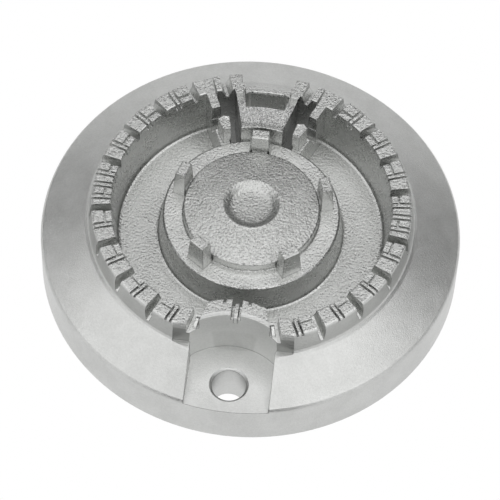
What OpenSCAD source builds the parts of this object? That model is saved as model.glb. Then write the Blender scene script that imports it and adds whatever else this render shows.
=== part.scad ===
// Gas burner head, one aluminium die casting. All sizes are in millimetres.
// Z is up. The rim stands on Z = 0 and the head's axis is the Z axis.
// The igniter hole is at the front, towards -Y, and the bridge at the back.

/* [Flange] */
// Outside diameter of the rim
rim_d = 100; // [97:0.5:104]
// Height of the rim's top edge
rim_h = 12; // [11.2:0.1:12.8]
// Thickness of the rim wall and of the sloping flange
shell_t = 3; // [2.4:0.1:3.4]
// Size of the small break along the rim's top edge
rim_break = 0.5; // [0.3:0.1:0.9]

/* [Crown] */
// Height of the crown's top, which carries the cap
crown_h = 23.9; // [23.5:0.1:24.4]
// Outside diameter of the crown's top
crown_top_d = 75.6; // [75:0.1:76.2]
// Outside diameter of the crown's foot on the flange
crown_foot_d = 77; // [76.4:0.1:78]
// Height of the crown's foot
crown_foot_h = 17.7; // [17.2:0.1:18.2]
// Inside diameter of the crown's top
crown_in_d = 66.2; // [65.6:0.1:66.8]

/* [Ports] */
// Width of a main port
port_w = 1.9; // [1.5:0.1:2.1]
// Width of a main port's floor
port_floor_w = 0.8; // [0.6:0.1:1.2]
// Depth of a main port at the crown's inner wall
port_in = 2.2; // [1.8:0.1:2.6]
// Depth of a main port at the crown's outer wall
port_out = 4.4; // [3.8:0.1:4.8]
// Angle from the front to the first main port
port_first = 32; // [31.5:0.1:32.5]
// Angle between the front main ports
port_pitch = 16.15; // [16:0.05:16.3]
// Angle from the back to the last main port
back_first = 30.5; // [30:0.1:31]
// Angle between the back main ports
back_pitch = 15.7; // [15.5:0.05:15.8]
// Angle of the narrow side port
side_port = 90.9; // [90.6:0.1:91.2]
// Width of one slit of a slit pair
slit_w = 0.55; // [0.4:0.05:0.7]
// Distance between the two slits of a pair
slit_gap = 1.25; // [1.1:0.05:1.4]
// Depth of a slit at the inner wall
slit_in = 2; // [1.2:0.1:2.6]
// Depth of a slit at the outer wall
slit_out = 0.9; // [0.6:0.1:1.4]
// Drop of the pad beside each main port
pad_drop = 0.25; // [0.15:0.05:0.4]
// Radius of the groove behind the pad
pad_r = 35; // [34.8:0.1:35.4]
// Width of the groove behind the pad
pad_groove_w = 0.5; // [0.4:0.05:0.7]
// Depth of the groove behind the pad
pad_groove_d = 1; // [0.7:0.1:1.4]

/* [Trough and hub] */
// Height of the trough's floor
floor_h = 11.5; // [11:0.1:12.2]
// Radius of the trough's outer wall at the floor
trough_r = 31.7; // [31.3:0.1:32.1]
// Radius of the hub's wall at the floor
hub_foot_r = 22; // [21.6:0.1:22.4]
// Radius of the hub's top edge
hub_r = 20.9; // [20.7:0.1:21.3]
// Height of the hub's flat ring
hub_h = 19.3; // [18.9:0.1:19.7]
// Radius of the raised disc
disc_r = 16.1; // [15.8:0.1:16.3]
// Height of the raised disc's edge
disc_h = 21.7; // [21.3:0.1:22.1]
// Radius of the cup's mouth in the disc
cup_r = 6.4; // [5.8:0.1:7]
// Height of the cup's rim, the highest part of the disc
cup_h = 23.5; // [23:0.1:23.9]
// Radius of the cup's floor
cup_floor_r = 4.9; // [4.5:0.1:5.2]
// Depth of the cup
cup_depth = 1.6; // [1.3:0.1:2]

/* [Cap lugs] */
// Number of cap lugs, one of them at the back
lug_n = 5; // [3:1:6]
// Radius of a lug's inner face
lug_in_r = 16.4; // [16.2:0.1:16.8]
// Radius of a lug's outer face
lug_out_r = 19.3; // [19:0.1:19.8]
// Width of a lug at its top
lug_w = 4; // [3.6:0.1:4.4]
// Width of a lug at its foot
lug_foot_w = 5.1; // [4.8:0.1:5.4]
// Height of a lug's top, the highest part of the head
lug_h = 26.8; // [26:0.1:27.4]

/* [Igniter notch] */
// Wall between the igniter hole and the outside of the rim
igniter_wall = 3.5; // [3.2:0.1:3.8]
// Radius of the igniter hole
igniter_r = 4; // [3.6:0.05:4.3]
// Break around the mouth of the igniter hole
igniter_break = 0.6; // [0.4:0.05:0.8]
// Wall of the boss around the igniter hole
boss_t = 3.2; // [2.9:0.1:3.6]
// Height of the flat around the igniter hole
flat_h = 11.4; // [11:0.1:11.8]
// Half width of the flat
flat_w = 9.9; // [9.4:0.1:10.3]
// Radius of the notch in the crown, at its top
notch_r = 15.5; // [15.3:0.1:15.8]
// Radius of the notch's wall on the trough's side
notch_wall_r = 16.3; // [16:0.1:16.6]
// Distance from the head's axis to the flat ends of the crown
crown_end_y = 35; // [34.7:0.1:35.4]
// Distance from the head's axis to the straight inner faces beside the notch
crown_end_in_y = 30.7; // [30.5:0.1:31]
// Width of the middle port in the notch's wall
mid_port_w = 2.3; // [2:0.1:2.6]

/* [Bridge and feed passages] */
// Half angle of the bridge
bridge_a = 13.3; // [13:0.1:13.6]
// Height of the bridge's front edge
bridge_h = 24.7; // [24.2:0.1:25.2]
// Drop from the crown's top to the bridge's flanks
flank_drop = 1.6; // [1.4:0.1:1.8]
// Half angle of the pocket behind the bridge
pocket_a = 9.6; // [9.2:0.1:10]
// Radius of the pocket's inner wall
pocket_in_r = 28; // [27.6:0.1:28.4]
// Radius of the pocket's outer wall
pocket_out_r = 35.7; // [35.4:0.1:36]
// Height of the pocket's floor
pocket_floor = 9; // [8.6:0.1:9.6]
// Rounding of the pocket's outer corners
pocket_corner = 1.8; // [1.4:0.1:2.2]
// Angle from the back to the partition walls
wall_a = 24.05; // [23.9:0.05:24.2]
// Thickness of a partition wall at its top
wall_t = 2.05; // [1.8:0.05:2.3]
// Angle from the back to the posts beside the bridge
post_a = 22.6; // [22.4:0.1:22.8]
// Width of a post at the front
post_w = 1.85; // [1.6:0.05:2]
// Width of a post at the back
post_back_w = 2.8; // [2.5:0.1:3]
// Radius where the partition wall's slot starts
slot_in_r = 25.4; // [25:0.1:25.8]
// Radius where the partition wall's slot ends
slot_out_r = 28.6; // [28.3:0.1:29]
// Height of the bottom of the partition wall's slot
slot_h = 15.2; // [14.8:0.1:15.6]

/* [Underside] */
// Radius of the inside of the locating ring
ring_in_r = 33; // [32.7:0.1:33.4]
// Radius of the outside of the locating ring
ring_out_r = 36; // [35.7:0.1:36.3]
// Thickness of the trough's floor
floor_t = 2.7; // [2.3:0.1:3.1]
// Thickness of the hub's roof
roof_t = 3.3; // [2.8:0.1:3.8]
// Thickness of the hub's wall
hub_t = 3.2; // [2.9:0.1:3.4]
// Radius where the bridge's hollow starts
hollow_in_r = 8; // [7:0.5:9]
// Wall between the bridge's hollow and the pocket
pocket_t = 2.8; // [2.6:0.1:3]

/* [Hidden] */
$fn = 80;
rim_r = rim_d / 2;
top_r = crown_top_d / 2;
foot_r = crown_foot_d / 2;
in_r = crown_in_d / 2;
slope = (crown_foot_h - rim_h) / (rim_r - foot_r);
under = floor_h - floor_t;
hub_cavity_r = hub_r - hub_t;
igniter_y = rim_r - igniter_wall - igniter_r;
slit_end_r = top_r + 1.7;
lug_slope = (lug_foot_w - lug_w) / (lug_h - hub_h + 0.5);
front_ports = [for (i = [0:3]) port_first + port_pitch * i];
back_ports = [for (i = [3:-1:0]) 180 - back_first - back_pitch * i];
port_half_a = 1.55;
slit_half_a = 1.4;
pad_a = 5.1;
pad_side_a = 3.2;
pad_mid_a = 2.4;
wall_slit_a = 2.3;
end_port_a = 15.55;
back_port_a = 16.85;
back_port_w = 2.5;
back_tooth_a = 10.3;
back_tooth_r = 31.9;
notch_wall_y = 43.4;
notch_y = crown_end_y + 11.9;
notch_draft = 0.06;
notch_foot_r = notch_r - notch_draft * (crown_h - flat_h);
notch_a = asin(flat_w / notch_foot_r) + 0.5;
notch_end_y = notch_y - sqrt(notch_foot_r * notch_foot_r - flat_w * flat_w);
mid_rib_y = notch_wall_y - notch_wall_r + 0.4;

// Height of the flange's slope at a radius, also when carried on inwards.
function slope_h(r) = rim_h + (rim_r - r) * slope;

// The cross section of the casting, from the axis out to the rim.
module section() {
    polygon([
        [0, hub_h - roof_t], [hub_cavity_r - 2, hub_h - roof_t], [hub_cavity_r, hub_h - roof_t - 3],
        [hub_cavity_r + 0.7, under], [ring_in_r, under], [ring_in_r, 0], [ring_out_r, 0],
        [ring_out_r, under + 1], [foot_r, crown_foot_h - shell_t - 1.5],
        [foot_r + 2.5, slope_h(foot_r + 2.5) - shell_t],
        [rim_r - shell_t - 1.5, slope_h(rim_r - shell_t - 1.5) - shell_t - 0.4],
        [rim_r - shell_t, slope_h(rim_r - shell_t) - shell_t - 2],
        [rim_r - shell_t, 0], [rim_r - 0.3, 0], [rim_r, 0.4], [rim_r, rim_h - rim_break],
        [rim_r - rim_break * 0.3, rim_h - rim_break * 0.3],
        [rim_r - rim_break, slope_h(rim_r - rim_break)],
        [foot_r + 0.9, slope_h(foot_r + 0.9)], [foot_r + 0.25, slope_h(foot_r) + 0.05],
        [foot_r, crown_foot_h + 0.6],
        [top_r, crown_h - 0.6], [top_r - 0.15, crown_h - 0.2], [top_r - 0.6, crown_h],
        [in_r + 0.4, crown_h], [in_r + 0.1, crown_h - 0.12], [in_r, crown_h - 0.4],
        [trough_r + 0.05, floor_h + 0.7], [trough_r - 0.2, floor_h + 0.2], [trough_r - 0.7, floor_h],
        [hub_foot_r + 0.6, floor_h], [hub_foot_r + 0.15, floor_h + 0.2], [hub_foot_r, floor_h + 0.6],
        [hub_r + 0.1, hub_h - 0.4], [hub_r - 0.3, hub_h],
        [disc_r + 0.3, hub_h], [disc_r + 0.05, hub_h + 0.3],
        [disc_r, disc_h - 0.2], [disc_r - 0.3, disc_h],
        [cup_r + 0.3, cup_h], [cup_r, cup_h - 0.15],
        [cup_floor_r + 0.2, cup_h - cup_depth + 0.55], [cup_floor_r - 0.5, cup_h - cup_depth + 0.25],
        [cup_floor_r * 0.6, cup_h - cup_depth + 0.08], [0, cup_h - cup_depth]
    ]);
}

// A sector of a turned shape, centred on an angle measured from the front.
module sector(at, half) {
    rotate([0, 0, at - 90 - half]) rotate_extrude(angle = 2 * half) children();
}

// A prism across a radius: its side view is given as [radius, height] points.
module radial_prism(at, w) {
    rotate([0, 0, at - 90]) translate([0, w / 2, 0]) rotate([90, 0, 0])
        linear_extrude(height = w) children();
}

// A channel whose floor falls from the inner wall to the outer wall.
module channel(at, w, d_in, d_out, r0 = 30, r1 = 41) {
    k = (d_out - d_in) / (top_r - in_r);
    radial_prism(at, w) polygon([
        [r0, crown_h - d_in + (in_r - r0) * k], [r1, crown_h - d_out - (r1 - top_r) * k],
        [r1, crown_h + 6], [r0, crown_h + 6]
    ]);
}

// A port with leaning side walls, whose narrow floor falls to the outer wall.
module port(at, w, d_in, d_out) {
    fall = atan((d_out - d_in) / (top_r - in_r));
    rotate([0, 0, at]) translate([0, -in_r, crown_h - d_in]) rotate([90 + fall, 0, 0])
        translate([0, 0, -3]) linear_extrude(height = top_r - in_r + 6.5) polygon([
            [-port_floor_w / 2, 0], [port_floor_w / 2, 0], [w / 2, 1.9], [w / 2, 9],
            [-w / 2, 9], [-w / 2, 1.9]
        ]);
}

module slit_pair(at) {
    for (s = [-1, 1])
        rotate([0, 0, at]) translate([s * slit_gap / 2, 0, 0])
            channel(0, slit_w, slit_in, slit_out, r1 = slit_end_r);
}

// The low pad between a slit pair and a port, with the groove behind it.
module pad_cut(from_a, to_a) {
    half = (to_a - from_a) / 2;
    sector(from_a + half, half) polygon([
        [in_r - 3, crown_h - pad_drop], [pad_r - pad_groove_w, crown_h - pad_drop],
        [pad_r - pad_groove_w, crown_h - pad_groove_d], [pad_r, crown_h - pad_groove_d],
        [pad_r, crown_h + 2], [in_r - 3, crown_h + 2]
    ]);
}

// One main port with the pad and the slit pair in front of it.
module station(at, pad) {
    port(at, port_w, port_in, port_out);
    pad_cut(at - port_half_a - pad, at - port_half_a);
    slit_pair(at - port_half_a - pad - slit_half_a);
}

// Everything cut into the crown on one side of the head.
module crown_cuts() {
    for (a = front_ports) station(a, pad_a);
    for (i = [0:3]) station(back_ports[i], i == 0 ? pad_side_a : pad_a);
    slit_pair(side_port);
    pad_cut(side_port - 1.6 - pad_mid_a, side_port - 1.6);
    slit_pair(side_port - 1.6 - pad_mid_a - slit_half_a);
    channel(180 - wall_a + wall_slit_a, slit_w, slit_in, slit_out, r0 = in_r - 0.3, r1 = slit_end_r);
    // The port beside the bridge.
    port(180 - back_port_a, back_port_w, port_in + 0.4, port_out);
    // The ribbed port between the crown's end and the notch's wall.
    difference() {
        channel(end_port_a, 2.35, 2.9, 3.5, r0 = crown_end_in_y - 1.5);
        channel_rib(end_port_a - 0.5, 0.85, 1.4, crown_end_y + 0.3);
    }
}

module channel_rib(at, w, below, r_end) {
    radial_prism(at, w) polygon([
        [in_r - 0.6, 0], [r_end, 0], [r_end, crown_h - below - 1.2], [in_r + 0.4, crown_h - below],
        [in_r - 0.6, crown_h - below - 1]
    ]);
}

// A wedge-sided wall along a radius, wider at its foot.
module tapered_wall(at, r0, r1, z0, z1, top_w, foot_w) {
    rotate([0, 0, at]) translate([0, -r0, 0]) rotate([90, 0, 0])
        linear_extrude(height = r1 - r0) polygon([
            [-foot_w / 2, z0], [foot_w / 2, z0], [top_w / 2, z1], [-top_w / 2, z1]
        ]);
}

// A cap lug, narrower and shorter at its top.
module lug(at) {
    intersection() {
        tapered_wall(at, lug_in_r - 1, lug_out_r + 1, hub_h - 0.5, lug_h + 1, lug_w - lug_slope, lug_foot_w);
        radial_prism(at, 2 * lug_foot_w) polygon([
            [lug_in_r - 0.1, hub_h - 1], [lug_out_r + 0.1, hub_h - 1], [lug_out_r - 0.3, lug_h - 0.3],
            [lug_out_r - 0.6, lug_h], [lug_in_r + 0.4, lug_h], [lug_in_r + 0.1, lug_h - 0.3]
        ]);
    }
    tapered_wall(at, disc_r - 1, lug_in_r + 0.2, hub_h - 0.5, disc_h - 0.4, lug_w - 0.4, lug_w);
}

// A partition wall that closes one end of the trough, with its slot.
module partition_wall() {
    at = 180 - wall_a;
    difference() {
        tapered_wall(at, hub_foot_r - 2.2, in_r + 1.5, under + 0.8, hub_h - 0.1, wall_t + 0.35, wall_t + 1);
        slot_cut(at);
    }
    tapered_wall(at, slot_out_r, in_r + 1.5, hub_h - 0.2, crown_h, wall_t, wall_t + 0.35);
    // The post, wider at the back.
    rotate([0, 0, 180 - post_a]) translate([0, 0, hub_h - 2.2]) linear_extrude(height = bridge_h - hub_h + 2.2)
        polygon([
            [-post_w / 2, -hub_r - 0.4], [post_w / 2, -hub_r - 0.4], [post_back_w / 2, 0.7 - slot_in_r],
            [0, -slot_in_r], [-post_back_w / 2, 0.7 - slot_in_r]
        ]);
}

module slot_cut(at) {
    radial_prism(at, 8) polygon([
        [slot_in_r + 0.3, slot_h + 3.4], [slot_out_r - 1.2, slot_h], [slot_out_r - 0.3, slot_h],
        [slot_out_r, hub_h + 5], [slot_in_r, hub_h + 5]
    ]);
}

// The sloping-topped bridge from the hub to the back of the crown.
module bridge() {
    sector(180, bridge_a + 0.4) polygon([
        [hub_r - 1, under + 1.2], [in_r + 0.8, under + 1.2], [in_r + 0.8, crown_h - flank_drop],
        [hub_r + 0.4, bridge_h], [hub_r + 0.2, bridge_h - 0.2], [hub_r + 0.1, hub_h - 0.5]
    ]);
    // The housing of the pocket under the flange.
    sector(180, bridge_a) polygon([
        [pocket_in_r - 2.6, pocket_floor - 2.6], [foot_r + 0.2, pocket_floor - 2.6],
        [foot_r + 0.2, crown_foot_h - 1], [in_r + 0.5, crown_foot_h - 1], [pocket_in_r - 2.6, under + 1]
    ]);
}

// What stays in an outer corner of the pocket, in three flats.
module pocket_corner_fill() {
    c = pocket_corner;
    rotate([0, 0, 180 - pocket_a]) translate([0, -pocket_out_r, pocket_floor - 2])
        linear_extrude(height = slope_h(pocket_out_r) - pocket_floor + 5) polygon([
            [-1, -1], [-1, c * 1.15], [0.1, c * 1.15], [c * 0.26, c * 0.5], [c * 0.6, c * 0.17],
            [c * 1.2, -0.1], [c * 1.2, -1]
        ]);
}

module pocket() {
    difference() {
        sector(180, pocket_a) polygon([
            [pocket_in_r, pocket_floor], [pocket_out_r, pocket_floor],
            [pocket_out_r, slope_h(pocket_out_r) - 1.3], [pocket_out_r + 0.3, slope_h(pocket_out_r) - 0.8],
            [pocket_out_r + 3, slope_h(pocket_out_r) + 1], [pocket_out_r + 3, crown_h + 5],
            [pocket_in_r, crown_h + 5]
        ]);
        both_sides() pocket_corner_fill();
    }
    // The crown is left out here, down to the slope of the flange.
    sector(180, back_tooth_a) polygon([
        [pocket_out_r - 1, slope_h(pocket_out_r - 1) - 0.55], [foot_r + 3, slope_h(foot_r + 3) + 0.2],
        [foot_r + 3, crown_h + 5], [pocket_out_r - 1, crown_h + 5]
    ]);
}

// The feed passage on one side, open from the underside.
module passage() {
    half = (wall_a - 3.2 - bridge_a) / 2;
    sector(180 - bridge_a - half, half) polygon([
        [hub_foot_r + 0.6, -1], [trough_r, -1], [trough_r + 0.1, floor_h + 1.8], [in_r - 0.2, crown_h - 1],
        [in_r - 0.2, crown_h + 5], [hub_r + 0.4, crown_h + 5], [hub_r + 0.4, hub_h - 0.8],
        [hub_r + 1.7, hub_h - 1.1], [hub_foot_r + 0.8, floor_h]
    ]);
}

// The wall between the trough and the notch, and the flat's block.
module notch_solids() {
    intersection() {
        translate([0, -notch_wall_y, under + 1])
            cylinder(r1 = notch_wall_r + 0.7, r2 = notch_wall_r, h = crown_h - under - 1);
        sector(0, end_port_a - 1.9) square([top_r - 0.5, crown_h + 1]);
        translate([-20, -top_r, under]) cube([40, top_r - 20, crown_h]);
    }
    intersection() {
        rotate_extrude() polygon([
            [ring_out_r - 1, flat_h - shell_t], [rim_r - 1, flat_h - shell_t],
            [rim_r - 1, slope_h(rim_r - 1) - 0.4], [foot_r, crown_foot_h - 0.4],
            [ring_out_r - 1, crown_foot_h - 0.4]
        ]);
        translate([-flat_w - shell_t, -rim_r, 0]) cube([2 * (flat_w + shell_t), 30, 30]);
    }
    // The crown's ends, with straight inner faces.
    rotate([90, 0, 90]) translate([0, 0, -12.7]) linear_extrude(height = 25.4) polygon([
        [-crown_end_y - 0.3, under + 1.3], [-crown_end_in_y + 1.1, under + 1.3],
        [-crown_end_in_y, crown_h], [-crown_end_y - 0.3, crown_h]
    ]);
    // The boss around the igniter hole.
    translate([0, 0, 0.2]) linear_extrude(height = flat_h - 0.8) intersection() {
        translate([0, -igniter_y]) circle(r = igniter_r + boss_t);
        circle(r = rim_r - 1);
    }
}

module notch_cuts() {
    // The notch over the flat.
    translate([0, -notch_y, 0]) sector(180, notch_a) polygon([
        [notch_foot_r - 1.5, flat_h + 0.1], [notch_foot_r - notch_draft * 0.3, flat_h + 0.1],
        [notch_r + notch_draft * 5, crown_h + 5], [notch_foot_r - 1.5, crown_h + 5]
    ]);
    translate([0, 0, flat_h]) linear_extrude(height = 30) intersection() {
        translate([-flat_w, -rim_r - 5]) square([2 * flat_w, rim_r]);
        union() {
            translate([0, -notch_y]) circle(r = notch_foot_r);
            translate([-rim_r, -rim_r - 10]) square([2 * rim_r, rim_r + 9.7 - notch_end_y]);
        }
    }
    // The flat ends of the crown.
    rotate([90, 0, 90]) translate([0, 0, -14]) linear_extrude(height = 28) polygon([
        [-crown_end_y - 0.8, crown_foot_h - 0.1], [-crown_end_y, crown_h],
        [-crown_end_y, crown_h + 5], [-rim_r, crown_h + 5], [-rim_r, crown_foot_h - 0.1]
    ]);
    // The igniter hole.
    translate([0, -igniter_y, -1]) cylinder(r = igniter_r, h = flat_h + 2);
    translate([0, -igniter_y, flat_h - igniter_break])
        cylinder(r1 = igniter_r, r2 = igniter_r + igniter_break + 1, h = igniter_break + 1);
    // The middle port with its two deeper slits, and the short slits beside it.
    translate([-mid_port_w / 2, -33, crown_h - 1.85]) cube([mid_port_w, 8, 5]);
    for (s = [-1, 1]) {
        translate([s * (mid_port_w / 2 - 0.33) - 0.32, -30.6, crown_h - 3.2]) cube([0.64, 6, 5]);
        rotate([0, 0, s * 6]) translate([-0.3, -28.7, crown_h - 1.2]) cube([0.6, 5, 5]);
    }
}

module mid_rib() {
    translate([-0.45, -notch_y + notch_r - 0.3, crown_h - 3.1]) cube([0.9, notch_y - notch_r - mid_rib_y, 2.3]);
}

// The inner end of the tooth beside the bridge, with its corner taken off.
module back_tooth() {
    rotate([0, 0, 180 - back_tooth_a]) translate([0, 0, crown_h - flank_drop - 0.6])
        linear_extrude(height = flank_drop + 0.6) polygon([
            [0, -back_tooth_r], [-1.75, -back_tooth_r + 0.1], [-2.4, -in_r - 0.6], [0, -in_r - 0.6]
        ]);
}

module both_sides() {
    children();
    mirror([1, 0, 0]) children();
}

module burner_head() {
    color([0.74, 0.75, 0.75]) {
        difference() {
            union() {
                rotate_extrude() section();
                notch_solids();
                bridge();
                for (i = [0:lug_n - 1]) lug(180 + 360 / lug_n * i);
            }
            both_sides() { crown_cuts(); passage(); }
            pocket();
            notch_cuts();
            // The hollow of the bridge, open to the underside.
            sector(180, pocket_a - 1) polygon([
                [hollow_in_r, -1], [pocket_in_r - pocket_t, -1], [pocket_in_r - pocket_t, hub_h],
                [hub_r + 0.6, hub_h - roof_t], [hollow_in_r, hub_h - roof_t]
            ]);
        }
        both_sides() { partition_wall(); back_tooth(); }
        mid_rib();
    }
}

burner_head();
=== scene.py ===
"""A cast gas burner head, dressed and staged for its photograph.

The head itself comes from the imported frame. This script gives it its blasted
aluminium finish and sets the camera, the floor and the soft studio light.
Everything is in metres, in the frame's own axes: Z is up, the rim stands on
the floor and the igniter hole is in front, towards -Y.
"""

from __future__ import annotations

import logging
import math
from dataclasses import dataclass, field
from enum import Enum
from typing import Any, Union

import bmesh
import bpy
from mathutils import Matrix, Vector


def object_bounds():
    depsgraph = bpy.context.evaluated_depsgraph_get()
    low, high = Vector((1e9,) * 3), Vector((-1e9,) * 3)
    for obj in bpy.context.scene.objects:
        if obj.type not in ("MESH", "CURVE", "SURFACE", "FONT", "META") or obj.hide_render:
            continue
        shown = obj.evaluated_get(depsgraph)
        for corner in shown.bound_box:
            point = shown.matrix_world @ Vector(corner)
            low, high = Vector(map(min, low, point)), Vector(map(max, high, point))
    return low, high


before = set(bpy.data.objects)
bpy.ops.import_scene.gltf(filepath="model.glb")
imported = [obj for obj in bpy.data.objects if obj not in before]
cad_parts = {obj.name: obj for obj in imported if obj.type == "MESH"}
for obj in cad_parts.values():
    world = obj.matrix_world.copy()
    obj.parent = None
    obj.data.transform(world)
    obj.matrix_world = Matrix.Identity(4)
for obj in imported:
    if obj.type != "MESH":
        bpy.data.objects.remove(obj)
CAD_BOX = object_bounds()

LOG = logging.getLogger("burner_head")
MM = 0.001


class Signal:
    """A shader value on which Python's operators act by adding Math nodes."""

    def __init__(self, bench: "Bench", socket: bpy.types.NodeSocket) -> None:
        """Wraps a socket.

        Args:
            bench: The node tree's bench, on which new nodes are added.
            socket: The output socket that carries the value.
        """
        self.bench = bench
        self.socket = socket

    def _math(self, operation: str, *terms: "Term", clamp: bool = False) -> "Signal":
        """Adds one Math node.

        Args:
            operation: The Math node's operation.
            terms: Its inputs, as signals or plain numbers.
            clamp: Whether the result is held between 0 and 1.

        Returns:
            The node's result.
        """
        return self.bench.node(
            "ShaderNodeMath",
            {"operation": operation, "use_clamp": clamp},
            dict(enumerate(terms)),
        ).out("Value")

    def __add__(self, other: "Term") -> "Signal":
        """Adds."""
        return self._math("ADD", self, other)

    __radd__ = __add__

    def __sub__(self, other: "Term") -> "Signal":
        """Subtracts."""
        return self._math("SUBTRACT", self, other)

    def __rsub__(self, other: "Term") -> "Signal":
        """Subtracts this signal from a plain number."""
        return self._math("SUBTRACT", other, self)

    def __mul__(self, other: "Term") -> "Signal":
        """Multiplies."""
        return self._math("MULTIPLY", self, other)

    __rmul__ = __mul__

    def __truediv__(self, other: "Term") -> "Signal":
        """Divides."""
        return self._math("DIVIDE", self, other)

    def __pow__(self, other: "Term") -> "Signal":
        """Raises to a power."""
        return self._math("POWER", self, other)

    def clamped(self) -> "Signal":
        """Holds the signal between 0 and 1."""
        return self._math("ADD", self, 0.0, clamp=True)

    def at_most(self, other: "Term") -> "Signal":
        """Takes the smaller of two values."""
        return self._math("MINIMUM", self, other)

    def at_least(self, other: "Term") -> "Signal":
        """Takes the larger of two values."""
        return self._math("MAXIMUM", self, other)

    def size(self) -> "Signal":
        """Drops the sign."""
        return self._math("ABSOLUTE", self)

    def ramp(self, low: float, high: float) -> "Signal":
        """Maps low to 0 and high to 1 along a soft step.

        Args:
            low: The value that gives 0.
            high: The value that gives 1.

        Returns:
            The mapped value.
        """
        return self.bench.node(
            "ShaderNodeMapRange",
            {"interpolation_type": "SMOOTHSTEP", "clamp": True},
            {"Value": self, "From Min": low, "From Max": high},
        ).out("Result")


Term = Union[Signal, float]
Hue = Union[Signal, tuple[float, float, float]]


@dataclass
class Placed:
    """A node that a bench has added."""

    bench: "Bench"
    node: bpy.types.Node

    def out(self, name: Union[str, int] = 0) -> Signal:
        """Gives one of the node's outputs by name or number."""
        return Signal(self.bench, self.node.outputs[name])


class Bench:
    """Adds nodes to one node tree."""

    def __init__(self, tree: bpy.types.NodeTree) -> None:
        """Takes a tree and empties it.

        Args:
            tree: The node tree of a material or of the world.
        """
        self.tree = tree
        tree.nodes.clear()

    def node(
        self,
        kind: str,
        settings: dict[str, Any] | None = None,
        inputs: dict[Union[str, int], Any] | None = None,
    ) -> Placed:
        """Adds any node.

        Args:
            kind: The node's type, such as ShaderNodeMath.
            settings: Its properties, which are set first.
            inputs: Values or signals for its sockets, by name or number.

        Returns:
            The placed node.
        """
        made = self.tree.nodes.new(kind)
        for name, value in (settings or {}).items():
            setattr(made, name, value)
        for name, value in (inputs or {}).items():
            socket = made.inputs[name]
            if isinstance(value, Signal):
                self.tree.links.new(value.socket, socket)
            else:
                socket.default_value = value
        return Placed(self, made)

    def object_point(self) -> Signal:
        """Gives the point in the object's own coordinates, in metres."""
        return self.node("ShaderNodeTexCoord").out("Object")

    def facing(self) -> Signal:
        """Gives the way that the surface faces, in the object's own axes."""
        return self.node("ShaderNodeTexCoord").out("Normal")

    def parts(self, point: Signal) -> tuple[Signal, Signal, Signal]:
        """Splits a point into its X, Y and Z."""
        split = self.node("ShaderNodeSeparateXYZ", {}, {"Vector": point})
        return split.out("X"), split.out("Y"), split.out("Z")

    def from_axis(self, point: Signal, along: float = 0.0) -> Signal:
        """Measures how far a point lies from an upright axis.

        Args:
            point: The point, in metres.
            along: Where the axis stands on Y; on X it stands at 0.

        Returns:
            The level distance, in metres.
        """
        x, y, _ = self.parts(point)
        return (x * x + (y - along) ** 2.0) ** 0.5

    def seen(self) -> Signal:
        """Is 1 for the camera's rays and for mirrored and refracted ones."""
        path = self.node("ShaderNodeLightPath")
        return (path.out("Is Camera Ray") + path.out("Is Glossy Ray")
                + path.out("Is Transmission Ray")).clamped()

    def noise(self, point: Signal, feature: float, detail: float = 2.0) -> Signal:
        """Adds a noise pattern.

        Args:
            point: The coordinates that it is read at.
            feature: The size of its features, in metres.
            detail: How many finer layers it has.

        Returns:
            The pattern, from about 0 to 1.
        """
        return self.node(
            "ShaderNodeTexNoise",
            {"noise_dimensions": "3D"},
            {"Vector": point, "Scale": 1.0 / feature, "Detail": detail, "Roughness": 0.55},
        ).out("Fac")

    def blend(self, mask: Term, low: "Hue", high: "Hue") -> Signal:
        """Mixes two colours by a mask.

        Args:
            mask: Where it is 1, the second colour shows.
            low: The first colour, plain or as a signal.
            high: The second colour, plain or as a signal.

        Returns:
            The mixed colour.
        """
        mixed = self.node(
            "ShaderNodeMix",
            {"data_type": "RGBA", "blend_type": "MIX"},
            {"Factor": mask},
        )
        for name, colour in (("A", low), ("B", high)):
            socket = next(
                s for s in mixed.node.inputs if s.name == name and s.type == "RGBA"
            )
            if isinstance(colour, Signal):
                self.tree.links.new(colour.socket, socket)
            else:
                socket.default_value = (*colour, 1.0)
        socket = next(s for s in mixed.node.outputs if s.type == "RGBA")
        return Signal(self, socket)


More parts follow.
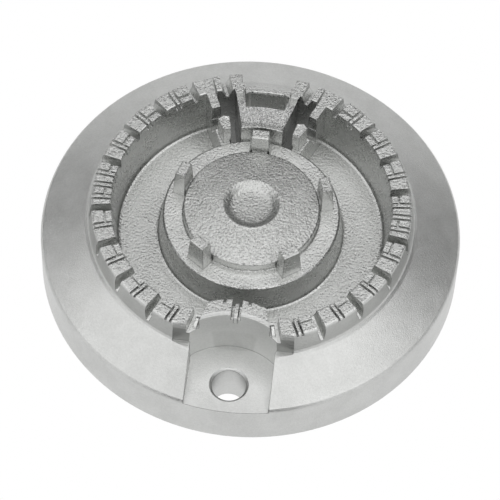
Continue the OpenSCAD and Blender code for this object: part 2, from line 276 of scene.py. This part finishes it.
@dataclass(frozen=True)
class BlastedCasting:
    """Shot-blasted die-cast aluminium, silver-grey.

    The tops that stand high are the coarsest. The flange and the igniter's
    notch are nearly smooth.
    """

    name: str = "blasted_casting"
    dark: tuple[float, float, float] = (0.48, 0.485, 0.475)
    light: tuple[float, float, float] = (0.68, 0.685, 0.675)
    # The bright tone is the painted light on the crown's outer wall and the back shelf.
    bright: tuple[float, float, float] = (0.92, 0.925, 0.915)
    roughness: float = 0.28
    edge_radius: float = 0.22 * MM
    pit: float = 0.55 * MM
    pit_height: float = 0.14 * MM
    fine: float = 0.25 * MM
    fine_height: float = 0.04 * MM
    wave: float = 6.0 * MM
    disc_in: float = 15.7 * MM
    disc_out: float = 16.3 * MM
    disc_more: float = 1.4
    cup_foot_in: float = 4.7 * MM
    cup_foot_out: float = 5.1 * MM
    cup_in: float = 6.3 * MM
    cup_out: float = 6.7 * MM
    cup_back_from: float = 0.5 * MM
    cup_back_to: float = 4.5 * MM
    cup_calm: float = 0.2
    # How strongly the cup's wall is darkened, a painted shade.
    cup_wall_shade: float = 0.45
    # Painted shade darkens the whole cup.
    cup_shade: float = 0.25
    tops_from: float = 22.3 * MM
    tops_to: float = 22.9 * MM
    tops_more: float = 0.4
    level_from: float = 0.3
    level_to: float = 0.8
    wall_share: float = 0.35
    flange_from: float = 37.0 * MM
    flange_to: float = 40.0 * MM
    notch_y: float = -46.9 * MM
    notch_in: float = 16.0 * MM
    notch_out: float = 16.6 * MM
    notch_half: float = 9.8 * MM
    notch_side: float = 10.1 * MM
    notch_low: float = 10.9 * MM
    notch_flat: float = 11.3 * MM
    # The notch's flat is painted lighter, a painted light.
    notch_painted_light: float = 0.35
    shelf_from: float = 22.2 * MM
    shelf_to: float = 22.8 * MM
    shelf_fade: float = 28.0 * MM
    shelf_end: float = 31.0 * MM
    shelf_low: float = 19.4 * MM
    shelf_high: float = 19.8 * MM
    shelf_half: float = 9.0 * MM
    shelf_side: float = 9.6 * MM
    # How strongly the back shelf is brightened, a painted light.
    shelf_painted_light: float = 0.8
    smooth_share: float = 0.85
    smooth_fine: float = 1.2
    smooth_speckle: float = 0.6
    smooth_haze: float = 0.12
    # Thin dark lines of painted shade along edges and corners; their tone also darkens the cup's wall.
    line_radius: float = 0.34 * MM
    line_from: float = 0.005
    line_to: float = 0.15
    painted_shade_tone: tuple[float, float, float] = (0.15, 0.155, 0.15)
    line_share: float = 0.75
    line_less: float = 0.9
    crown_from: float = 28.0 * MM
    crown_to: float = 29.0 * MM
    trough_in: float = 33.0 * MM
    trough_out: float = 33.4 * MM
    trough_low: float = 16.5 * MM
    trough_top: float = 18.5 * MM
    # Painted shade darkens the trough, its walls and the feed passages.
    trough_shade: float = 0.32
    outer_from: float = 33.6 * MM
    outer_to: float = 34.2 * MM
    outer_end: float = 37.0 * MM
    outer_foot: float = 38.0 * MM
    outer_low: float = 21.6 * MM
    outer_top: float = 22.3 * MM
    # How strongly the crown's outer wall is brightened, a painted light standing for the floor it
    # mirrors.
    outer_painted_light: float = 1.0
    outward_from: float = 0.84
    outward_to: float = 0.92
    end_from: float = 0.08
    end_to: float = 0.2
    # The crown's flat ends are darkened to this tone, a painted shade.
    end_shade_tone: tuple[float, float, float] = (0.34, 0.345, 0.335)

    def notch(self, bench: Bench, point: Signal) -> Signal:
        """Marks the igniter's notch and its flat, which is smoother and gets a painted light.

        Args:
            bench: The material's bench.
            point: The point on the casting, in metres.

        Returns:
            A mask that is 1 in the notch.
        """
        x, _, z = bench.parts(point)
        near = 1.0 - bench.from_axis(point, self.notch_y).ramp(self.notch_in, self.notch_out)
        above = z.ramp(self.notch_low, self.notch_flat)
        return near * above * (1.0 - x.size().ramp(self.notch_half, self.notch_side))

    def shelf(self, bench: Bench, point: Signal) -> Signal:
        """Marks the back bridge's shelf, which gets a painted light.

        Args:
            bench: The material's bench.
            point: The point on the casting, in metres.

        Returns:
            A mask that is 1 on the shelf.
        """
        x, y, z = bench.parts(point)
        behind = y.ramp(self.shelf_from, self.shelf_to)
        behind = behind * (1.0 - y.ramp(self.shelf_fade, self.shelf_end))
        high = z.ramp(self.shelf_low, self.shelf_high)
        return behind * high * (1.0 - x.size().ramp(self.shelf_half, self.shelf_side))

    def grain(self, bench: Bench, point: Signal, smooth: Signal) -> Signal:
        """Says how deep the blasted pits are at each place.

        Args:
            bench: The material's bench.
            point: The point on the casting, in metres.
            smooth: The mask of the smooth parts.

        Returns:
            The share of the pits' full height.
        """
        away = bench.from_axis(point)
        disc = 1.0 - away.ramp(self.disc_in, self.disc_out)
        cup = self.cup(bench, point)
        tops = bench.parts(point)[2].ramp(self.tops_from, self.tops_to)
        level = bench.parts(bench.facing())[2].ramp(self.level_from, self.level_to)
        coarse = disc * self.disc_more + tops * self.tops_more + 1.0
        calm = (1.0 - smooth * self.smooth_share) * (level * self.wall_share + (1.0 - self.wall_share))
        return calm * coarse * (1.0 - cup * self.cup_calm)

    def cup(self, bench: Bench, point: Signal) -> Signal:
        """Is 1 in the cup of the disc."""
        return 1.0 - bench.from_axis(point).ramp(self.cup_in, self.cup_out)

    def cup_wall(self, bench: Bench, point: Signal) -> Signal:
        """Marks the wall of the cup in the disc, all but its back, where a painted shade darkens it.

        Args:
            bench: The material's bench.
            point: The point on the casting, in metres.

        Returns:
            A mask that is 1 on the wall.
        """
        outside = bench.from_axis(point).ramp(self.cup_foot_in, self.cup_foot_out)
        back = bench.parts(point)[1].ramp(self.cup_back_from, self.cup_back_to)
        return outside * self.cup(bench, point) * (1.0 - back)

    def trough(self, bench: Bench, point: Signal) -> Signal:
        """Marks the trough, its walls and the feed passages, which get a painted shade.

        Args:
            bench: The material's bench.
            point: The point on the casting, in metres.

        Returns:
            A mask that is 1 down inside the crown.
        """
        inside = 1.0 - bench.from_axis(point).ramp(self.trough_in, self.trough_out)
        return inside * (1.0 - bench.parts(point)[2].ramp(self.trough_low, self.trough_top))

    def outer_wall(self, bench: Bench, point: Signal) -> Signal:
        """Marks the crown's outer wall, which is smoother and gets a painted light.

        Args:
            bench: The material's bench.
            point: The point on the casting, in metres.

        Returns:
            A mask that is 1 on the wall.
        """
        away = bench.from_axis(point)
        x, y, z = bench.parts(point)
        right, back, _ = bench.parts(bench.facing())
        outward = ((x * right + y * back) / away).ramp(self.outward_from, self.outward_to)
        ring = away.ramp(self.outer_from, self.outer_to)
        ring = ring * (1.0 - away.ramp(self.outer_end, self.outer_foot))
        return outward * ring * (1.0 - z.ramp(self.outer_low, self.outer_top))

    def flat_end(self, bench: Bench, point: Signal) -> Signal:
        """Marks the crown's two flat ends beside the notch, which get a painted shade.

        Args:
            bench: The material's bench.
            point: The point on the casting, in metres.

        Returns:
            A mask that is 1 on them.
        """
        x, _, z = bench.parts(point)
        right, back, _ = bench.parts(bench.facing())
        straight = 1.0 - right.size().ramp(self.end_from, self.end_to)
        front = (0.0 - back).ramp(self.outward_from, self.outward_to)
        beside = x.size().ramp(self.notch_half, self.notch_side)
        return straight * front * beside * (1.0 - z.ramp(self.outer_low, self.outer_top))

    def outline(self, bench: Bench, point: Signal) -> Signal:
        """Draws thin dark lines of painted shade along the casting's edges and corners.

        Args:
            bench: The material's bench.
            point: The point on the casting, in metres.

        Returns:
            A mask that is strongest on a sharp edge, and weaker on the crown's tops.
        """
        rounded = bench.node(
            "ShaderNodeBevel", {"samples": 8}, {"Radius": self.line_radius}
        ).out("Normal")
        plain = bench.node("ShaderNodeNewGeometry").out("Normal")
        same = bench.node(
            "ShaderNodeVectorMath", {"operation": "DOT_PRODUCT"}, {0: rounded, 1: plain}
        ).out("Value")
        crown = bench.from_axis(point).ramp(self.crown_from, self.crown_to)
        top = crown * bench.parts(point)[2].ramp(self.tops_from, self.tops_to)
        share = (1.0 - top * self.line_less) * self.line_share
        return (1.0 - same).ramp(self.line_from, self.line_to) * share

    def material(self) -> bpy.types.Material:
        """Builds the finish, whose colour also holds painted light and painted shade.

        Returns:
            The material.
        """
        made = bpy.data.materials.new(self.name)
        made.use_nodes = True
        bench = Bench(made.node_tree)
        point = bench.object_point()
        notch = self.notch(bench, point)
        outer = self.outer_wall(bench, point)
        # Painted light: the crown's outer wall and the back shelf are blended towards the bright tone.
        painted_light = outer * self.outer_painted_light + self.shelf(bench, point) * self.shelf_painted_light
        flange = bench.from_axis(point).ramp(self.flange_from, self.flange_to)
        smooth = flange.at_least(notch).at_least(outer)
        grain = self.grain(bench, point, smooth)
        pits = bench.noise(point, self.pit, 2.0)
        fine = bench.noise(point, self.fine, 1.0)
        waves = bench.noise(point, self.wave, 2.0)
        speckle = pits.ramp(0.30, 0.72) * 0.30 + fine.ramp(0.25, 0.75) * 0.14 - 0.22
        # The tone holds the grain and the slow waves, plus a painted light on the notch's flat and
        # painted shade in the trough and the cup.
        tone = (speckle * (grain + smooth * self.smooth_speckle) + waves.ramp(0.25, 0.75) * 0.30 + 0.35
                + notch * self.notch_painted_light - self.trough(bench, point) * self.trough_shade
                - self.cup(bench, point) * self.cup_shade)
        metal = bench.blend(painted_light, bench.blend(tone, self.dark, self.light), self.bright)
        # Painted shade on the crown's flat ends.
        metal = bench.blend(self.flat_end(bench, point), metal, self.end_shade_tone)
        # Painted shade on the cup's wall, all but its back.
        metal = bench.blend(self.cup_wall(bench, point) * self.cup_wall_shade, metal, self.painted_shade_tone)
        normal = bench.node(
            "ShaderNodeBevel", {"samples": 6}, {"Radius": self.edge_radius}
        ).out("Normal")
        dust = fine * (grain + smooth * self.smooth_fine)
        for height, pattern in ((self.pit_height, pits * grain), (self.fine_height, dust)):
            normal = bench.node("ShaderNodeBump", {}, {
                "Strength": 1.0, "Distance": height, "Height": pattern, "Normal": normal,
            }).out("Normal")
        # Painted shade: thin dark lines along the edges and corners.
        shader = bench.node("ShaderNodeBsdfPrincipled", {}, {
            "Base Color": bench.blend(self.outline(bench, point), metal, self.painted_shade_tone),
            "Metallic": 1.0,
            "Roughness": ((pits - 0.5) * grain * 0.12 + (waves - 0.5) * 0.06
                          + smooth * self.smooth_haze + self.roughness),
            "Normal": normal,
        })
        bench.node("ShaderNodeOutputMaterial", {}, {"Surface": shader.out("BSDF")})
        return made


@dataclass
class CastHead:
    """The burner head: one casting, carried over from the frame."""

    node: str = "burner_head"
    slot: str = "cast_aluminium"
    finish: BlastedCasting = field(default_factory=BlastedCasting)

    def dress(self) -> bpy.types.Object:
        """Puts the blasted finish on the casting.

        Returns:
            The casting's object.
        """
        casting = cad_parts[self.node]
        casting.data.materials.clear()
        casting.data.materials.append(self.finish.material())
        return casting


@dataclass(frozen=True)
class PaleFloor:
    """The plain white table that the head stands on."""

    name: str = "pale_floor"
    tone: float = 0.93
    under_to: float = 34.0 * MM
    open_from: float = 38.0 * MM
    under_share: float = 0.22

    def material(self) -> bpy.types.Material:
        """Builds a white floor that keeps a soft shadow.

        Under the head, where the casting covers it, less of the glow is mixed in, so it stays dimmer:
        a painted shade, with the real shadow of the matt part showing through.

        Returns:
            The material.
        """
        made = bpy.data.materials.new(self.name)
        made.use_nodes = True
        bench = Bench(made.node_tree)
        bare = bench.from_axis(bench.object_point()).ramp(self.under_to, self.open_from)
        white = (1.0, 1.0, 1.0, 1.0)
        matt = bench.node(
            "ShaderNodeBsdfDiffuse", {}, {"Color": (self.tone, self.tone, self.tone, 1.0)}
        )
        glow = bench.node("ShaderNodeEmission", {}, {"Color": white, "Strength": 1.0})
        mixed = bench.node("ShaderNodeMixShader", {}, {
            # Painted shade: less glow is mixed in under the head.
            0: bench.seen() * (bare * (1.0 - self.under_share) + self.under_share),
            1: matt.out(),
            2: glow.out(),
        })
        bench.node("ShaderNodeOutputMaterial", {}, {"Surface": mixed.out()})
        return made


class Quarter(Enum):
    """A side of the studio, as degrees from the back towards the right."""

    BACK = 0.0
    RIGHT = 90.0
    FRONT = 180.0
    LEFT = 270.0

    def way(self, aside: float, lift: float) -> Vector:
        """Gives a direction from the head.

        Args:
            aside: Degrees from the middle of this side, in the same sense.
            lift: Degrees above the floor.

        Returns:
            The direction, of length 1.
        """
        turn, rise = math.radians(self.value + aside), math.radians(lift)
        return Vector((
            math.sin(turn) * math.cos(rise), math.cos(turn) * math.cos(rise), math.sin(rise)
        ))


@dataclass(frozen=True)
class GreyCard:
    """A curved card round the head, for its metal to mirror.

    The camera doesn't see it. Its edges are given in degrees above the floor.
    """

    quarter: Quarter
    low: float
    high: float
    tone: float
    turn: float = 0.0
    spread: float = 45.0
    reach: float = 1.6
    steps: int = 24

    def build(self) -> bpy.types.Object:
        """Spins an upright edge about the head into the card.

        Returns:
            The card's object.
        """
        name = f"card_{self.quarter.name.lower()}"
        form = bmesh.new()
        ends = [
            form.verts.new(self.quarter.way(self.turn - self.spread, lift) * self.reach)
            for lift in (self.low, self.high)
        ]
        bmesh.ops.spin(
            form, geom=[*ends, form.edges.new(ends)], cent=(0.0, 0.0, 0.0),
            axis=(0.0, 0.0, -1.0), angle=math.radians(2.0 * self.spread),
            steps=self.steps, use_merge=False,
        )
        mesh = bpy.data.meshes.new(name)
        form.to_mesh(mesh)
        form.free()
        mesh.materials.append(self.paint(name))
        board = bpy.data.objects.new(name, mesh)
        board.visible_camera = False
        bpy.context.collection.objects.link(board)
        return board

    def paint(self, name: str) -> bpy.types.Material:
        """Gives the card its one even tone.

        Args:
            name: The material's name.

        Returns:
            The material.
        """
        made = bpy.data.materials.new(name)
        made.use_nodes = True
        bench = Bench(made.node_tree)
        grey = bench.node("ShaderNodeEmission", {}, {
            "Color": (1.0, 1.0, 1.0, 1.0), "Strength": self.tone})
        bench.node("ShaderNodeOutputMaterial", {}, {"Surface": grey.out()})
        return made


@dataclass(frozen=True)
class Softbox:
    """A soft lamp that points at the head.

    Its glow is how bright its face looks beside the white surroundings.
    """

    quarter: Quarter
    lift: float
    wide: float
    tall: float
    glow: float
    reach: float = 1.35
    aim: Vector = field(default_factory=lambda: Vector((0.0, 0.0, 0.01)))

    def build(self) -> bpy.types.Object:
        """Hangs the lamp.

        Returns:
            The lamp's object.
        """
        name = f"softbox_{self.quarter.name.lower()}"
        place = self.quarter.way(0.0, self.lift) * self.reach
        data = bpy.data.lights.new(name, "AREA")
        data.shape = "RECTANGLE"
        data.size, data.size_y = self.wide, self.tall
        data.energy = 4.0 * self.glow * self.wide * self.tall
        lamp = bpy.data.objects.new(name, data)
        turned = (self.aim - place).to_track_quat("-Z", "Y").to_matrix().to_4x4()
        lamp.matrix_world = Matrix.Translation(place) @ turned
        bpy.context.collection.objects.link(lamp)
        return lamp


@dataclass(frozen=True)
class Studio:
    """The floor, the white surroundings, the cards and the lamps."""

    floor: PaleFloor = PaleFloor()
    floor_reach: float = 4.0
    floor_gap: float = 0.1 * MM
    sky_fill: float = 0.55
    cards: tuple[GreyCard, ...] = (
        GreyCard(Quarter.BACK, 20.0, 50.0, 0.02),
        GreyCard(Quarter.RIGHT, 6.0, 43.0, 0.05, turn=-20.0, spread=25.0),
        GreyCard(Quarter.FRONT, 0.3, 28.0, 0.03, spread=27.0, reach=0.15),
        GreyCard(Quarter.LEFT, 8.0, 39.0, 0.12, turn=20.0, spread=25.0),
    )
    softboxes: tuple[Softbox, ...] = (
        Softbox(Quarter.BACK, 63.0, 1.3, 0.45, 0.35),
        Softbox(Quarter.RIGHT, 60.0, 1.2, 0.5, 0.66),
        Softbox(Quarter.FRONT, 42.0, 1.5, 0.6, 0.65),
        Softbox(Quarter.LEFT, 47.0, 1.2, 0.4, 0.62),
    )

    def lay_floor(self) -> bpy.types.Object:
        """Lays the floor just under the rim.

        Returns:
            The floor's object.
        """
        mesh = bpy.data.meshes.new("table_top")
        grid = bmesh.new()
        bmesh.ops.create_grid(grid, x_segments=1, y_segments=1, size=self.floor_reach)
        grid.to_mesh(mesh)
        grid.free()
        mesh.materials.append(self.floor.material())
        table = bpy.data.objects.new("table_top", mesh)
        table.location.z = CAD_BOX[0].z - self.floor_gap
        bpy.context.collection.objects.link(table)
        return table

    def light_world(self) -> bpy.types.World:
        """Lights the head from all round, with a white background.

        Returns:
            The world.
        """
        world = bpy.data.worlds.new("soft_tent")
        world.use_nodes = True
        bpy.context.scene.world = world
        bench = Bench(world.node_tree)
        white = (1.0, 1.0, 1.0, 1.0)
        fill = bench.node(
            "ShaderNodeBackground", {}, {"Color": white, "Strength": self.sky_fill}
        )
        backdrop = bench.node("ShaderNodeBackground", {}, {"Color": white, "Strength": 1.0})
        mixed = bench.node(
            "ShaderNodeMixShader", {}, {0: bench.seen(), 1: fill.out(), 2: backdrop.out()}
        )
        bench.node("ShaderNodeOutputWorld", {}, {"Surface": mixed.out()})
        return world

    def build(self) -> None:
        """Sets up the whole studio."""
        self.lay_floor()
        self.light_world()
        for piece in (*self.cards, *self.softboxes):
            LOG.info("set up %s", piece.build().name)


@dataclass
class ProductCamera:
    """The photograph's camera, as its perspective shows it.

    The offsets say where the frame's origin lands, from the image's centre.
    """

    image: float = 500.0
    focal: float = 3102.55
    distance: float = 0.75
    azimuth: float = 4.9
    elevation: float = 57.4324
    roll: float = 2.261
    offset_right: float = -0.392
    offset_down: float = 7.257
    sensor: float = 36.0

    def build(self) -> bpy.types.Object:
        """Makes the camera and gives it to the scene.

        Returns:
            The camera's object.
        """
        turn, lift, lean = (
            math.radians(a) for a in (self.azimuth, self.elevation, self.roll)
        )
        away = Vector((
            math.sin(turn) * math.cos(lift),
            -math.cos(turn) * math.cos(lift),
            math.sin(lift),
        ))
        level = Vector((math.cos(turn), math.sin(turn), 0.0))
        rise = level.cross(-away)
        right = math.cos(lean) * level + math.sin(lean) * rise
        up = math.cos(lean) * rise - math.sin(lean) * level
        ahead = (
            -away
            - right * (self.offset_right / self.focal)
            + up * (self.offset_down / self.focal)
        ).normalized()
        right = (right - ahead * right.dot(ahead)).normalized()
        up = right.cross(ahead)
        data = bpy.data.cameras.new("product_camera")
        data.sensor_width = self.sensor
        data.lens = self.focal / self.image * self.sensor
        data.clip_start, data.clip_end = 0.01, 20.0
        camera = bpy.data.objects.new("product_camera", data)
        camera.matrix_world = Matrix.Translation(away * self.distance) @ Matrix(
            (right, up, -ahead)
        ).transposed().to_4x4()
        bpy.context.collection.objects.link(camera)
        bpy.context.scene.camera = camera
        return camera


def main() -> None:
    """Builds the scene in order and reports each piece."""
    logging.basicConfig(level=logging.INFO, format="%(name)s: %(message)s")
    view = bpy.context.scene.view_settings
    view.view_transform = "Standard"
    casting = CastHead().dress()
    LOG.info("dressed %s", casting.name)
    Studio().build()
    LOG.info("built the studio")
    camera = ProductCamera().build()
    LOG.info("placed %s", camera.name)


if __name__ == "__main__":
    main()
